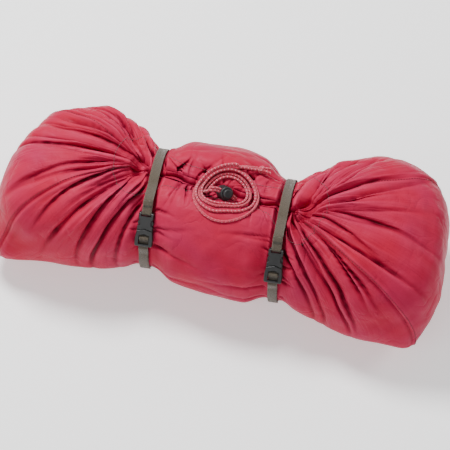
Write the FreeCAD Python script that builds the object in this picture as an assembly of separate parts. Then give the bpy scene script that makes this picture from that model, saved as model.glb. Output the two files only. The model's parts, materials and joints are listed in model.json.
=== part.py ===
"""Stuff sack, packed full and cinched, lying on its long side.

Millimetres, +Z up, the bag's length along X, its drawn-in mouth along the top,
its two buckled straps facing -Y.  The origin is the middle of the rest face.
"""
import FreeCAD
import Part
import os
from math import cos, degrees, pi, radians, sin, sqrt, tan

Vector = FreeCAD.Vector
os.makedirs("parts", exist_ok=True)

# ---- driving dimensions -------------------------------------------------

FABRIC = 1.5                  # body and end panels, coated cloth with its folds
FILL_GAP = 0.4                # packed contents to the inside of the cloth
SKEW = 4.8                    # the straps and sections stand turned this far about Z, degrees

# Cross-sections: place along X, middle in Y, half width, middle height, half height, squareness.
SECTIONS = [
    (-231.7, -6.0, 46.0, 60.0, 36.0, 2.3),
    (-225.7, -6.0, 64.0, 64.0, 54.0, 2.5),
    (-207.0, -5.0, 78.0, 70.0, 69.5, 2.5),
    (-165.0, -1.0, 88.0, 73.0, 76.5, 2.3),
    (-120.0, -1.0, 81.0, 71.0, 73.5, 2.2),
    (-92.0, -3.5, 69.0, 68.0, 64.5, 2.1),
    (-79.0, -5.0, 62.3, 66.0, 57.6, 2.0),
    (-70.0, -5.0, 62.1, 66.0, 57.4, 2.0),
    (-61.0, -5.0, 62.3, 66.0, 57.6, 2.0),
    (-38.0, -3.5, 74.5, 65.5, 65.0, 2.1),
    (0.0, -3.0, 79.0, 65.0, 67.0, 2.2),
    (37.0, -6.0, 75.5, 65.5, 65.0, 2.1),
    (60.0, -9.0, 64.3, 66.0, 57.6, 2.0),
    (69.0, -9.0, 64.1, 66.0, 57.4, 2.0),
    (78.0, -9.0, 64.3, 66.0, 57.6, 2.0),
    (92.0, -6.0, 71.0, 68.0, 64.5, 2.1),
    (122.0, 0.0, 82.0, 71.0, 73.5, 2.2),
    (170.0, 1.0, 88.0, 73.0, 76.5, 2.3),
    (209.0, -3.0, 82.0, 70.0, 69.5, 2.5),
    (225.5, -6.0, 68.0, 64.0, 56.0, 2.5),
    (231.5, -7.0, 48.0, 60.0, 38.0, 2.3),
]

SLIT_TURN = -3.8              # the mouth's line about Z, degrees
SLIT_HALF = 84.0              # middle of the mouth to the centre of each gather
VALLEY_RADIUS = 26.0          # round valley that the cinched mouth lies in
VALLEY_FLOOR = 117.0
SLOT_HALF_WIDTH = 7.2         # opening in the cloth that the gathered hem fills
SLOT_END_RADIUS = 11.6
SLOT_END = 80.0
CASING_RADIUS = 2.6           # gathered hem around the drawcord
CASING_BORE = 1.65
CONTENTS_DEPTH = 30.6         # valley radius in the contents, clear of the hem

SEAM_FLOOR = 25.0             # lower edge of the end panels
SEAM_FRONT = 28.5             # end panel's front seam, degrees from the X axis
SEAM_BACK = 22.0
SEAM_POINT = 78.0             # where both seams run into the gather

CORD = 1.3                    # drawcord radius
CORD_PITCH = 2.7              # two strands side by side

STRAP_WIDTH = 10.0
STRAP_THICK = 1.2
TAIL_GAP = 0.4                # between the strap and its free tail

STRAPS = {
    "left": dict(x=-70.0, y=-5.0, half_width=62.8, middle=66.0, half_height=58.0, at=141.0),
    "right": dict(x=69.0, y=-9.0, half_width=64.8, middle=66.0, half_height=58.0, at=143.0),
}


def save(name, shape):
    """Write one node after a sanity check."""
    if len(shape.Solids) == 1:
        shape = shape.Solids[0]
    box = shape.BoundBox
    print("%-20s solids %d valid %s volume %.1f box %.1f %.1f %.1f .. %.1f %.1f %.1f" % (
        name, len(shape.Solids), shape.isValid(), shape.Volume,
        box.XMin, box.YMin, box.ZMin, box.XMax, box.YMax, box.ZMax))
    shape.exportStep("parts/%s.step" % name)
    return shape


def box(x0, x1, y0, y1, z0, z1):
    return Part.makeBox(x1 - x0, y1 - y0, z1 - z0, Vector(x0, y0, z0))


def prism(outline, z0, z1):
    """Straight-sided solid over a closed outline of (x, y) points."""
    points = [Vector(x, y, z0) for x, y in outline]
    face = Part.Face(Part.makePolygon(points + points[:1]))
    return face.extrude(Vector(0, 0, z1 - z0))


def frame(origin, x_axis, y_axis, z_axis):
    """Placement that carries the local axes onto the given ones."""
    matrix = FreeCAD.Matrix(
        x_axis.x, y_axis.x, z_axis.x, origin.x,
        x_axis.y, y_axis.y, z_axis.y, origin.y,
        x_axis.z, y_axis.z, z_axis.z, origin.z,
        0, 0, 0, 1)
    return FreeCAD.Placement(matrix)


def placed(shape, placement):
    moved = shape.copy()
    moved.Placement = placement.multiply(moved.Placement)
    return moved


# ---- bag ----------------------------------------------------------------

SKEW_X = Vector(cos(radians(SKEW)), sin(radians(SKEW)), 0)
SKEW_Y = Vector(-sin(radians(SKEW)), cos(radians(SKEW)), 0)


def power(value, exponent):
    return (abs(value) ** exponent) * (1 if value >= 0 else -1)


def section_wire(x, y, half_width, middle, half_height, squareness, inset):
    """One closed rounded cross-section of the bag, drawn in by inset."""
    points = []
    count = 24
    for step in range(count):
        angle = 2 * pi * step / count
        across = (half_width - inset) * power(cos(angle), 2 / squareness)
        up = (half_height - inset) * power(sin(angle), 2 / squareness)
        points.append(Vector(x, y, middle + up) + SKEW_Y * across)
    curve = Part.BSplineCurve()
    curve.interpolate(Points=points, PeriodicFlag=True, Parameters=[float(step) for step in range(count + 1)])
    return Part.Wire([curve.toShape()])


def slopes(places, values):
    """Slope at each place for a smooth curve that never overshoots its values."""
    steps = [(high - low) / (after - before)
             for low, high, before, after in zip(values, values[1:], places, places[1:])]
    inner = [2 * left * right / (left + right) if left * right > 0 else 0.0
             for left, right in zip(steps, steps[1:])]
    return [steps[0]] + inner + [steps[-1]]


def halfway(sections):
    """The sections with one more between each two, on smooth curves through them."""
    places = [section[0] for section in sections]
    columns = list(zip(*sections))
    tangents = [slopes(places, column) for column in columns]
    finer = [sections[0]]
    for index in range(len(sections) - 1):
        gap = places[index + 1] - places[index]
        between = [(column[index] + column[index + 1]) / 2 + gap * (slope[index] - slope[index + 1]) / 8
                   for column, slope in zip(columns, tangents)]
        finer += [tuple(between), sections[index + 1]]
    return finer


def bag_body(inset, floor):
    """The bag's outer form, drawn in by inset and flat below at floor."""
    wires = []
    sections = halfway(halfway(SECTIONS))
    last = len(sections) - 1
    for index, (x, y, half_width, middle, half_height, squareness) in enumerate(sections):
        shift = inset if index == 0 else (-inset if index == last else 0.0)
        wires.append(section_wire(x + shift, y, half_width, middle, half_height, squareness, inset))
    body = Part.makeLoft(wires, True, True)
    return body.common(box(-300, 300, -150, 150, floor, 200))


def slit(along, across, z):
    """A point in the mouth's own line, carried into the bag's frame."""
    turn = radians(SLIT_TURN)
    return Vector(along * cos(turn) - across * sin(turn), along * sin(turn) + across * cos(turn), z)


def slit_placement():
    return FreeCAD.Placement(Vector(0, 0, 0), FreeCAD.Rotation(Vector(0, 0, 1), SLIT_TURN))


def valley(radius):
    """Capsule along the mouth, whose lower side is the valley's floor."""
    height = VALLEY_FLOOR + VALLEY_RADIUS
    bar = Part.makeCylinder(radius, 2 * SLIT_HALF, Vector(-SLIT_HALF, 0, height), Vector(1, 0, 0))
    for end in (-SLIT_HALF, SLIT_HALF):
        bar = bar.fuse(Part.makeSphere(radius, Vector(end, 0, height)))
    return placed(bar, slit_placement())


def mouth_slot():
    slot = box(-SLOT_END, SLOT_END, -SLOT_HALF_WIDTH, SLOT_HALF_WIDTH, 100, 160)
    for end in (-SLOT_END, SLOT_END):
        slot = slot.fuse(Part.makeCylinder(SLOT_END_RADIUS, 60, Vector(end, 0, 100)))
    return placed(slot, slit_placement())


def end_wedge(side):
    """Region of one end panel: between its two seams and above its lower edge."""
    near = Vector(side * SEAM_POINT, 0, SEAM_FLOOR)
    reach = 200.0
    front = near + Vector(side * reach, -reach * tan(radians(SEAM_FRONT)), 0)
    back = near + Vector(side * reach, reach * tan(radians(SEAM_BACK)), 0)
    face = Part.Face(Part.makePolygon([near, front, back, near]))
    return face.extrude(Vector(0, 0, 200))


cloth = bag_body(0, 0).cut(bag_body(FABRIC, FABRIC).cut(valley(VALLEY_RADIUS + FABRIC)))
cloth = cloth.cut(valley(VALLEY_RADIUS)).cut(mouth_slot())
wedges = {"left": end_wedge(-1), "right": end_wedge(1)}
body_panel = cloth.cut(wedges["left"]).cut(wedges["right"])
shapes = {"body_panel": save("body_panel", body_panel)}
for side, wedge in wedges.items():
    shapes["%s_end_panel" % side] = save("%s_end_panel" % side, cloth.common(wedge))

fill = FABRIC + FILL_GAP
contents = bag_body(fill, fill).cut(valley(CONTENTS_DEPTH))
shapes["packed_contents"] = save("packed_contents", contents)

# ---- drawcord -----------------------------------------------------------


def route_wire(points):
    """Straight runs joined by tangent arcs; prints the arc radii."""
    edges = []
    radii = []
    start = points[0]
    for before, corner, after in zip(points, points[1:], points[2:]):
        into = corner - before
        out = after - corner
        half_turn = into.getAngle(out) / 2
        setback = 0.45 * min(into.Length, out.Length)
        radii.append(setback / tan(half_turn))
        into.normalize()
        out.normalize()
        arc_start = corner - into * setback
        arc_end = corner + out * setback
        middle = corner + (out - into).normalize() * (radii[-1] / cos(half_turn) - radii[-1])
        edges.append(Part.LineSegment(start, arc_start).toShape())
        edges.append(Part.Arc(arc_start, middle, arc_end).toShape())
        start = arc_end
    edges.append(Part.LineSegment(start, points[-1]).toShape())
    return Part.Wire(edges), radii


def tube(name, points, radius):
    """Round tube along a route."""
    wire, radii = route_wire(points)
    direction = points[1] - points[0]
    profile = Part.Wire([Part.makeCircle(radius, points[0], direction)])
    solid = wire.makePipeShell([profile], True, False)
    expected = pi * radius ** 2 * wire.Length
    print("%-20s length %.1f radii %s volume ratio %.3f" % (
        name, wire.Length, " ".join("%.1f" % value for value in radii), solid.Volume / expected))
    return solid


# The drawcord's way round the mouth inside its hem, as (along, across) in the mouth's own line.
HEM_ROUTE = [
    (-3, -3.3), (-26, -3.7), (-50, -3.1), (-68, -4.2), (-80, -6.2), (-86, -3.4), (-86, 3.4),
    (-80, 6.2), (-68, 4.2), (-48, 3.1), (-22, 3.7), (4, 3.2), (30, 3.7), (52, 3.1), (70, 4.2),
    (81, 6.2), (87, 3.4), (87, -3.4), (81, -6.2), (70, -4.2), (54, -3.2), (38, -3.7), (22, -3.3),
]
hem = [slit(along, across, VALLEY_FLOOR) for along, across in HEM_ROUTE]
casing = tube("mouth_casing", hem, CASING_RADIUS)
bore = tube("mouth_casing bore", hem, CASING_BORE)
shapes["mouth_casing"] = save("mouth_casing", casing.cut(bore))
shapes["drawcord_loop"] = save("drawcord_loop", tube("drawcord_loop", hem, CORD))

# Cord lock: its button faces up and towards the front, the cord crosses it leaning up to the left.
LOCK_TURN = 6.0               # the lock's own front, degrees from -Y towards +X
LOCK_LEAN = 35.0              # the cord's way through it above the horizontal
LOCK_RAISE = 55.0             # barrel axis, raised from that front about the cord
LOCK_MIDDLE = Vector(6.0, -8.0, 130.6)
BARREL_RADIUS = 7.0
BARREL_HALF = 7.0
CROSSING_OFFSET = 2.5         # the cord crosses this far in front of the barrel's middle
BORE_RADIUS = 5.8
LIP_RADIUS = 5.15
PLUNGER_RADIUS = 5.0
COLLAR_RADIUS = 5.6
COLLAR_TOP = 0.3
PLUNGER_BOTTOM = -1.3
PLUNGER_TOP = 10.5
PRESS = 3.2
BORE_BOTTOM = -5.0

UP = Vector(0, 0, 1)
lock_front = Vector(sin(radians(LOCK_TURN)), -cos(radians(LOCK_TURN)), 0)
lock_level = Vector(-cos(radians(LOCK_TURN)), -sin(radians(LOCK_TURN)), 0)
lock_cord = lock_level * cos(radians(LOCK_LEAN)) + UP * sin(radians(LOCK_LEAN))
lock_rise = UP * cos(radians(LOCK_LEAN)) - lock_level * sin(radians(LOCK_LEAN))
lock_axis = lock_front * cos(radians(LOCK_RAISE)) + lock_rise * sin(radians(LOCK_RAISE))
lock_side = lock_axis.cross(lock_cord)
lock_place = frame(LOCK_MIDDLE, lock_cord, lock_side, lock_axis)
lock_crossing = LOCK_MIDDLE + lock_axis * CROSSING_OFFSET


def oblong_hole(half_y, z0, z1):
    """Crossways hole for the two strands, rounded at both sides."""
    half_z = (z1 - z0) / 2
    middle = (z1 + z0) / 2
    radius = min(half_z, 1.5)
    hole = box(-20, 20, -half_y, half_y, middle - half_z, middle + half_z)
    return hole.makeFillet(radius * 0.9, [edge for edge in hole.Edges if is_along_x(edge)])


def is_along_x(edge):
    first, last = edge.Vertexes[0].Point, edge.Vertexes[-1].Point
    return abs(abs(first.x - last.x) - edge.Length) < 1e-6


def cylinder(radius, z0, z1):
    return Part.makeCylinder(radius, z1 - z0, Vector(0, 0, z0))


barrel = cylinder(BARREL_RADIUS, -BARREL_HALF, BARREL_HALF)
barrel = barrel.makeFillet(1.2, [edge for edge in barrel.Edges if edge.Curve.TypeId == "Part::GeomCircle"])
barrel = barrel.cut(cylinder(BORE_RADIUS, BORE_BOTTOM, COLLAR_TOP + 0.1))
barrel = barrel.cut(cylinder(LIP_RADIUS, BORE_BOTTOM, BARREL_HALF + 1))
barrel = barrel.cut(oblong_hole(3.1, CROSSING_OFFSET - 1.6, CROSSING_OFFSET + 1.6))
shapes["cordlock_barrel"] = save("cordlock_barrel", placed(barrel, lock_place))

plunger = cylinder(PLUNGER_RADIUS, PLUNGER_BOTTOM, PLUNGER_TOP)
rim = [edge for edge in plunger.Edges if abs(edge.CenterOfMass.z - PLUNGER_TOP) < 0.01]
plunger = plunger.makeFillet(1.4, rim)
plunger = plunger.fuse(cylinder(COLLAR_RADIUS, PLUNGER_BOTTOM, COLLAR_TOP))
plunger = plunger.cut(oblong_hole(3.0, CROSSING_OFFSET - 1.5, CROSSING_OFFSET + 1.5 + PRESS))
plunger = plunger.cut(cylinder(3.4, PLUNGER_BOTTOM - 1, PLUNGER_BOTTOM + 1.0))
shapes["cordlock_plunger"] = save("cordlock_plunger", placed(plunger, lock_place))

spring = cylinder(3.2, BORE_BOTTOM, PLUNGER_BOTTOM + 1.0).cut(cylinder(2.4, BORE_BOTTOM, PLUNGER_TOP))
shapes["cordlock_spring"] = save("cordlock_spring", placed(spring, lock_place))

# Coil: two turns of the doubled cord, lying on the valley's shoulders.
COIL_MIDDLE = Vector(8.0, -10.5, 131.4)
COIL_OUTER = 35.0
COIL_INNER = 20.0
COIL_THICK = 5.6
COIL_TILT = 5.0               # towards the front, degrees
ring = Part.makeCylinder(COIL_OUTER, COIL_THICK).cut(Part.makeCylinder(COIL_INNER, COIL_THICK))
ring = ring.makeFillet(2.0, [edge for edge in ring.Edges if edge.Curve.TypeId == "Part::GeomCircle"])
coil_place = FreeCAD.Placement(COIL_MIDDLE, FreeCAD.Rotation(Vector(1, 0, 0), COIL_TILT))
shapes["drawcord_coil"] = save("drawcord_coil", placed(ring, coil_place))


def coil_top(x, y):
    """Point on the coil's upper face above (x, y)."""
    slope = tan(radians(COIL_TILT))
    top = COIL_MIDDLE.z + COIL_THICK / cos(radians(COIL_TILT))
    return Vector(x, y, top + (y - COIL_MIDDLE.y) * slope)


STRAND_STARTS = {
    "a": [slit(22, -3.3, VALLEY_FLOOR), slit(18.2, -4.6, VALLEY_FLOOR + 1.9)],
    "b": [slit(-3, -3.3, VALLEY_FLOOR), slit(4.5, -3.9, VALLEY_FLOOR + 0.3),
          slit(11.0, -5.6, VALLEY_FLOOR + 1.6), Vector(16.3, -9.2, 120.4), Vector(17.0, -10.5, 124.0)],
}
STRAND_LEADS = {
    "a": [Vector(-4.5, -11.0, 140.8), Vector(-10.2, -13.8, 141.2), Vector(-15.6, -16.6, 139.7)],
    "b": [Vector(-4.6, -12.9, 138.6), Vector(-10.6, -15.6, 138.7), Vector(-15.2, -19.2, 138.0)],
}
STRAND_ENDS = {"a": (-20.0, -18.4), "b": (-18.2, -22.2)}
LOCK_PASS = 9.4               # half the cord's straight way through the lock
for letter, sign in (("a", -1), ("b", 1)):
    beside = lock_side * (sign * CORD_PITCH / 2)
    through = [lock_crossing - lock_cord * LOCK_PASS + beside,
               lock_crossing + lock_cord * LOCK_PASS + beside]
    points = STRAND_STARTS[letter] + through + STRAND_LEADS[letter] + [coil_top(*STRAND_ENDS[letter])]
    print("route strand", letter, [(round(p.x, 1), round(p.y, 1), round(p.z, 1)) for p in points])
    name = "drawcord_strand_%s" % letter
    shapes[name] = save(name, tube(name, points, CORD))

KNOT = Vector(35.2, 30.4, 128.6)
KNOT_RADIUS = 4.3
TAILS = {
    "a": [Vector(13.0, 22.6, 135.6), Vector(19.0, 24.6, 134.6), Vector(25.4, 26.3, 132.0),
          Vector(31.8, 28.4, 129.4)],
    "b": [Vector(11.6, 24.4, 132.9), Vector(17.6, 27.2, 132.2), Vector(24.2, 29.2, 130.4),
          Vector(31.2, 31.2, 128.4)],
}
TIPS = {
    "a": [Vector(39.0, 29.2, 128.6), Vector(42.2, 29.6, 127.6), Vector(45.6, 29.2, 126.6)],
    "b": [Vector(38.2, 32.8, 127.8), Vector(41.2, 34.4, 126.8), Vector(44.6, 35.2, 125.4)],
}
for letter in ("a", "b"):
    shapes["drawcord_tail_" + letter] = save(
        "drawcord_tail_" + letter, tube("drawcord_tail_" + letter, TAILS[letter], CORD))
    shapes["drawcord_tip_" + letter] = save(
        "drawcord_tip_" + letter, tube("drawcord_tip_" + letter, TIPS[letter], CORD))
shapes["drawcord_knot"] = save("drawcord_knot", Part.makeSphere(KNOT_RADIUS, KNOT))

# ---- side-release buckle, in its own frame ------------------------------
# x across the strap, y up the strap, z outwards; the halves part near y = 0.

BAR_Y = 17.2                  # socket's fixed bar
BAR_RADIUS = 0.9
SLOT_Y = 14.4
SLOT_HALF = 5.3
MOUTH_HALF = 8.2              # half width where the two halves meet
CAVITY_HALF = 6.5
CAVITY_TOP = 1.7
CAVITY_END = 12.0
HINGE_X = 4.9                 # root of each squeeze arm
HINGE_Y = -3.2
HINGE_RADIUS = 1.2
HINGE_CLEAR = 0.06
ARM_TOP = 1.5
WINDOW_HALF = 5.5
MIDDLE_BAR_Y = -9.6
END_BAR_Y = -15.8
PARTING = 0.3


def mirrored(outline):
    """Close a half outline, given from the middle line out and back, about x = 0."""
    return outline + [(-x, y) for x, y in reversed(outline) if abs(x) > 1e-9]


def chamfer_top(solid, z, size):
    """Bevel the outside edges of a flat upper or lower face."""
    edges = [edge for edge in solid.Edges if abs(edge.CenterOfMass.z - z) < 1e-4
             and abs(edge.Vertexes[0].Point.z - z) < 1e-4]
    return solid.makeChamfer(size, edges)


def buckle_socket():
    outline = mirrored([(0, 1.0), (MOUTH_HALF, -1.2), (MOUTH_HALF, 3.4), (6.3, 4.7), (5.9, 7.5), (6.3, 10.4),
                        (7.75, 12.0), (7.75, 17.0), (6.9, 18.1), (0, 18.1)])
    solid = chamfer_top(prism(outline, -3.0, 3.5), 3.5, 0.6)
    solid = solid.cut(box(-CAVITY_HALF, CAVITY_HALF, -5, CAVITY_END, -CAVITY_TOP, CAVITY_TOP))
    solid = solid.cut(box(-SLOT_HALF, SLOT_HALF, SLOT_Y, 25, -5, 5))
    bar = Part.makeCylinder(BAR_RADIUS, 2 * SLOT_HALF + 1,
                            Vector(-SLOT_HALF - 0.5, BAR_Y, 0), Vector(1, 0, 0))
    return solid.fuse(bar).removeSplitter()


def buckle_plug():
    outline = mirrored([(0, 1.0 - PARTING), (MOUTH_HALF, -1.2 - PARTING), (8.6, -4.5),
                        (9.2, -9.0), (9.2, -16.6), (8.2, -18.0), (0, -18.0)])
    solid = chamfer_top(prism(outline, -2.8, 3.2), 3.2, 0.6)
    opening = mirrored([(0, -4.6), (WINDOW_HALF, -6.2), (WINDOW_HALF, END_BAR_Y), (0, END_BAR_Y)])
    window = prism(opening, -5, 5)
    solid = solid.cut(window)
    solid = solid.cut(box(-WINDOW_HALF, WINDOW_HALF, -25, END_BAR_Y + 0.5, -5, -0.5))
    bar = Part.makeCylinder(1.0, 2 * WINDOW_HALF + 1, Vector(-WINDOW_HALF - 0.5, MIDDLE_BAR_Y, 0.1),
                            Vector(1, 0, 0))
    guide = prism([(-1.6, -1.0), (1.6, -1.0), (1.6, 8.8), (0.8, 10.0), (-0.8, 10.0), (-1.6, 8.8)],
                  -ARM_TOP, ARM_TOP)
    solid = solid.fuse(bar).fuse(guide)
    for sign in (-1, 1):
        seat = Part.makeCylinder(HINGE_RADIUS + HINGE_CLEAR, 2 * ARM_TOP + 0.2,
                                 Vector(sign * HINGE_X, HINGE_Y, -ARM_TOP - 0.1))
        gap = prism([(sign * 4.15, HINGE_Y), (sign * 5.75, HINGE_Y), (sign * 5.95, 2.0), (sign * 2.6, 2.0)],
                    -ARM_TOP - 0.1, ARM_TOP + 0.1)
        solid = solid.cut(seat).cut(gap)
    return solid.removeSplitter()


def buckle_arm(sign):
    """Squeeze arm: round root, springy beam, and the barbed pad pressed from the side."""
    root = Part.makeCylinder(HINGE_RADIUS, 2 * ARM_TOP, Vector(sign * HINGE_X, HINGE_Y, -ARM_TOP))
    beam = prism([(sign * 4.3, HINGE_Y), (sign * 5.5, HINGE_Y), (sign * 5.6, 4.0), (sign * 5.8, 9.6),
                  (sign * 4.5, 9.6), (sign * 4.2, 4.0)], -ARM_TOP, ARM_TOP)
    pad = prism([(sign * 4.6, 4.9), (sign * 7.9, 4.9), (sign * 8.0, 7.6), (sign * 7.2, 9.4),
                 (sign * 6.0, 10.4), (sign * 4.6, 10.4)], -ARM_TOP, ARM_TOP)
    return root.fuse(beam).fuse(pad).removeSplitter()


# ---- straps and buckles -------------------------------------------------


def strip(points, width, thick):
    """Flat webbing along a centre line of (y, z) points in a strap's own plane."""
    curve = Part.BSplineCurve()
    curve.interpolate(Points=[Vector(0, y, z) for y, z in points])
    knots = curve.getKnots()
    values = []
    for low, high in zip(knots, knots[1:]):
        values += [low + (high - low) * part / 3 for part in range(3)]
    values.append(knots[-1])
    sides = {1: [], -1: []}
    for value in values:
        tangent = curve.tangent(value)[0]
        normal = Vector(0, -tangent.z, tangent.y)
        for sign, side in sides.items():
            side.append(curve.value(value) + normal * (sign * thick / 2))
    border = sides[1] + sides[-1][::-1]
    face = Part.Face(Part.makePolygon(border + border[:1]))
    solid = face.extrude(Vector(width, 0, 0))
    solid.translate(Vector(-width / 2, 0, 0))
    return solid, curve.length()


BUCKLE_RISE = 4.0             # buckle's middle plane above the strap's inner line
STRAP_END_AT = 174.0          # joint between the main strap and its free end, degrees round
TAIL_END_AT = 214.0
ANCHOR_HALF = 9.0             # degrees of the strap sewn down at the back
ANCHOR_AT = 8.0


def build_strap(side, spec):
    plane = frame(Vector(spec["x"], spec["y"], 0), SKEW_X, SKEW_Y, Vector(0, 0, 1))
    half_width, half_height, middle = spec["half_width"], spec["half_height"], spec["middle"]

    def ellipse(angle, lift):
        """Point of the strap's line at an angle from +Y, lifted along the normal."""
        turn = radians(angle)
        normal_y, normal_z = cos(turn) / half_width, sin(turn) / half_height
        size = sqrt(normal_y ** 2 + normal_z ** 2)
        return (half_width * cos(turn) + lift * normal_y / size,
                middle + half_height * sin(turn) + lift * normal_z / size)

    centre = ellipse(spec["at"], BUCKLE_RISE)
    turn = radians(spec["at"])
    normal = Vector(0, cos(turn) / half_width, sin(turn) / half_height).normalize()
    upwards = Vector(0, normal.z, -normal.y)

    def local(y, z):
        """Buckle coordinates into the strap's plane."""
        return (centre[0] + upwards.y * y + normal.y * z, centre[1] + upwards.z * y + normal.z * z)

    half = STRAP_THICK / 2
    wrap = BAR_RADIUS + 0.15 + half
    loop = [local(31.0, 0.5), local(27.0, 0.95), local(22.5, 1.35), local(19.2, 1.6)]
    for angle in (95, 130, 180, 230, 265):
        loop.append(local(BAR_Y + wrap * cos(radians(angle)), wrap * sin(radians(angle))))
    loop += [local(19.4, -1.4), local(23.0, -1.0), local(27.2, -0.95), local(31.2, -1.5)]
    around = [ellipse(angle, half) for angle in range(int(spec["at"]) - 43, -188, -8)]
    last = ellipse(STRAP_END_AT - 360, half)
    around = [point for point in around if abs(point[0] - last[0]) + abs(point[1] - last[1]) > 6] + [last]
    strap, length = strip(loop + around, STRAP_WIDTH, STRAP_THICK)
    print("%s strap length %.0f" % (side, length))
    shapes["%s_strap" % side] = save("%s_strap" % side, placed(strap, plane))

    load = [last, ellipse(169, half + 0.15), local(-21.5, -3.35), local(-17.0, -2.9), local(-12.5, -2.75),
            local(-9.0, -2.55), local(-7.2, -1.6), local(-7.0, 0.2), local(-8.2, 1.7), local(-9.8, 1.95),
            local(-11.5, 1.2), local(-13.0, -0.2), local(-15.0, -1.2), local(-18.0, -1.35),
            local(-22.0, -1.9)]
    tail = [ellipse(angle, STRAP_THICK + TAIL_GAP + half)
            for angle in (169.5, 174, 180, 188, 197, 206, TAIL_END_AT)]
    end, length = strip(load + tail, STRAP_WIDTH, STRAP_THICK)
    print("%s strap end length %.0f" % (side, length))
    shapes["%s_strap_end" % side] = save("%s_strap_end" % side, placed(end, plane))

    stitch, _ = strip([local(22.5, 2.1), local(24.5, 1.93), local(27.0, 1.68)], STRAP_WIDTH - 1.6, 0.4)
    shapes["%s_loop_stitch" % side] = save("%s_loop_stitch" % side, placed(stitch, plane))

    pad = [ellipse(ANCHOR_AT + step * ANCHOR_HALF, -0.14) for step in (-1, -0.5, 0, 0.5, 1)]
    anchor, _ = strip(pad, STRAP_WIDTH + 4, 0.24)
    shapes["%s_strap_anchor" % side] = save("%s_strap_anchor" % side, placed(anchor, plane))

    seat = frame(Vector(0, centre[0], centre[1]), Vector(1, 0, 0), upwards, normal)
    buckle = plane.multiply(seat)
    nodes = {"buckle_socket": buckle_socket(), "buckle_plug": buckle_plug(),
             "buckle_arm_a": buckle_arm(-1), "buckle_arm_b": buckle_arm(1)}
    for name, solid in nodes.items():
        node = "%s_%s" % (side, name)
        shapes[node] = save(node, placed(solid, buckle))
    turned = buckle.Rotation
    print(side, "release axis", turned.multVec(Vector(0, -1, 0)), "outward", turned.multVec(Vector(0, 0, 1)))
    for letter, sign in (("a", -1), ("b", 1)):
        print(side, "arm", letter, "hinge", buckle.multVec(Vector(sign * HINGE_X, HINGE_Y, 0)))
    print(side, "buckle middle", buckle.multVec(Vector(0, 0, 0)))


for side, spec in STRAPS.items():
    build_strap(side, spec)

print("lock axis", lock_axis, "middle", LOCK_MIDDLE)
whole = Part.makeCompound(list(shapes.values())).BoundBox
print("overall", whole.XMin, whole.XMax, whole.YMin, whole.YMax, whole.ZMin, whole.ZMax)
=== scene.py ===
"""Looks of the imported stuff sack, built round its CAD frame."""

import json
from math import cos, pi, radians, sin, tan

import bpy
import numpy as np
from mathutils import Matrix, Vector
from mathutils.bvhtree import BVHTree


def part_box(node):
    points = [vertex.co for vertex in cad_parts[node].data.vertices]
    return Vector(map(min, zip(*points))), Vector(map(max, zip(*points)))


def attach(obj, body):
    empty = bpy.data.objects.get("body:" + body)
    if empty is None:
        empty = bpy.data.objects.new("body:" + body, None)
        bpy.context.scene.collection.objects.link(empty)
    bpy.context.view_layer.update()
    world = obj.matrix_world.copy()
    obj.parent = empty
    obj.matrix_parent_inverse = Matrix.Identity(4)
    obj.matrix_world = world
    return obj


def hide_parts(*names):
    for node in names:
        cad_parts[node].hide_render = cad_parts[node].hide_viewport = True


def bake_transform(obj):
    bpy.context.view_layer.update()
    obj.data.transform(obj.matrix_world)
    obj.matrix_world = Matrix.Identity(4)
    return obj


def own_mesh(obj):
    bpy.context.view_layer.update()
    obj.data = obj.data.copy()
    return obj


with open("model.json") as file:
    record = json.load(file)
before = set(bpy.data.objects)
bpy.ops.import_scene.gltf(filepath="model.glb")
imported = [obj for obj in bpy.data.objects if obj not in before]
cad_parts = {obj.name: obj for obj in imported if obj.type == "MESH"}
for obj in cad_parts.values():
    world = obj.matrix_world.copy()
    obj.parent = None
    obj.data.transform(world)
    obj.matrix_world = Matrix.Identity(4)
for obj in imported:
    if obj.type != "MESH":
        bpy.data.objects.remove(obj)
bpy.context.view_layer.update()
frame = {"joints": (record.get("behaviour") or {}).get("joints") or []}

MM = 0.001                      # the model's numbers are millimetres

# ---- driving dimensions, millimetres and degrees ------------------------

SKEW = 4.8                      # the straps' planes, turned about Z
SLIT_TURN = -3.8                # the mouth's line, turned about Z
SLIT_HALF = 79.0
VALLEY_RADIUS = 26.0
VALLEY_FLOOR = 117.0
VALLEY_END_RADIUS = 12.0        # the valley narrows to this towards the mouth's ends
VALLEY_END_RISE = 2.0
STRAP_HALF = 5.0
STRAPS = {
    "left": dict(x=-70.0, y=-5.0, half_width=62.8, middle=66.0, half_height=58.0, at=141.0),
    "right": dict(x=69.0, y=-9.0, half_width=64.8, middle=66.0, half_height=58.0, at=143.0),
}

# Bag form along X: place, middle in Y, half width, middle height, half height, squareness.
FORM = np.array([
    (-240, -6, 88, 72, 74, 2.5),
    (-165, -1, 88, 73, 76, 2.3),
    (-120, -1, 82, 71, 73, 2.2),
    (-92, -3, 71, 68, 65, 2.1),
    (-79, -5, 62.6, 66, 57.8, 2.0),
    (-70, -5, 62.0, 66, 57.3, 2.0),
    (-61, -5, 62.6, 66, 57.8, 2.0),
    (-38, -3, 75.5, 66, 65, 2.1),
    (0, -3, 79, 65, 67, 2.2),
    (37, -6, 76.5, 66, 65, 2.1),
    (60, -9, 64.6, 66, 57.8, 2.0),
    (69, -9, 64.0, 66, 57.3, 2.0),
    (78, -9, 64.6, 66, 57.8, 2.0),
    (92, -6, 72, 68, 65, 2.1),
    (122, 0, 83, 71, 73, 2.2),
    (170, 1, 88, 73, 76, 2.3),
    (240, -6, 88, 72, 74, 2.5),
])
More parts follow.
